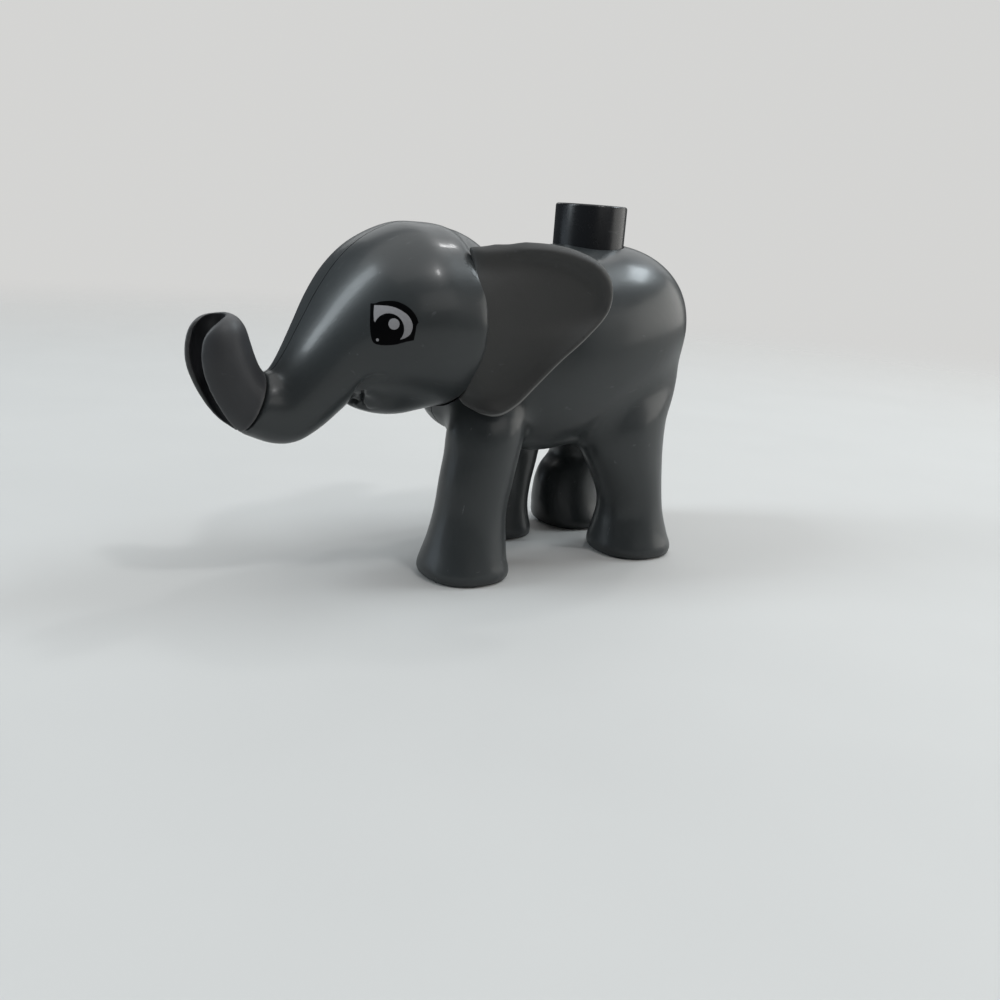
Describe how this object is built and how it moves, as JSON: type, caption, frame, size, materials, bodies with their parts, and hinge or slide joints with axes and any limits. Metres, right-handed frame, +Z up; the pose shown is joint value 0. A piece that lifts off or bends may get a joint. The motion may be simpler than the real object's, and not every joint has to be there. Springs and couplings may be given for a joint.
{
  "type": "toy elephant figure",
  "caption": "Small moulded elephant calf with flared feet, wide thin ears, a raised trunk ending in a slotted soft clip, and a plain round coupling stud on its back; the head nods.",
  "frame": {"origin": "on the floor, under the middle of the overall box", "axes": "the head looks towards -X, +Y is the toy's right side, +Z is up"},
  "size_m": [0.0674, 0.0322, 0.0461],
  "materials": {
    "hide": "satin moulded",
    "soft": "soft matte",
    "stud": "smooth moulded",
    "inner": "unpainted"
  },
  "bodies": {
    "torso": {"body_left_shell": "hide", "body_right_shell": "hide", "back_stud": "stud", "neck_link": "inner"},
    "head": {"head_left_shell": "hide", "head_right_shell": "hide", "left_ear": "soft", "right_ear": "soft", "trunk_tip": "soft", "neck_pin": "inner"}
  },
  "joints": [
    {"name": "head_nod", "type": "hinge", "parent": "torso", "child": "head", "pos_m": [-0.0049, 0, 0.0314], "axis": [0, 1, 0], "range_deg": [-3, 12]}
  ]
}
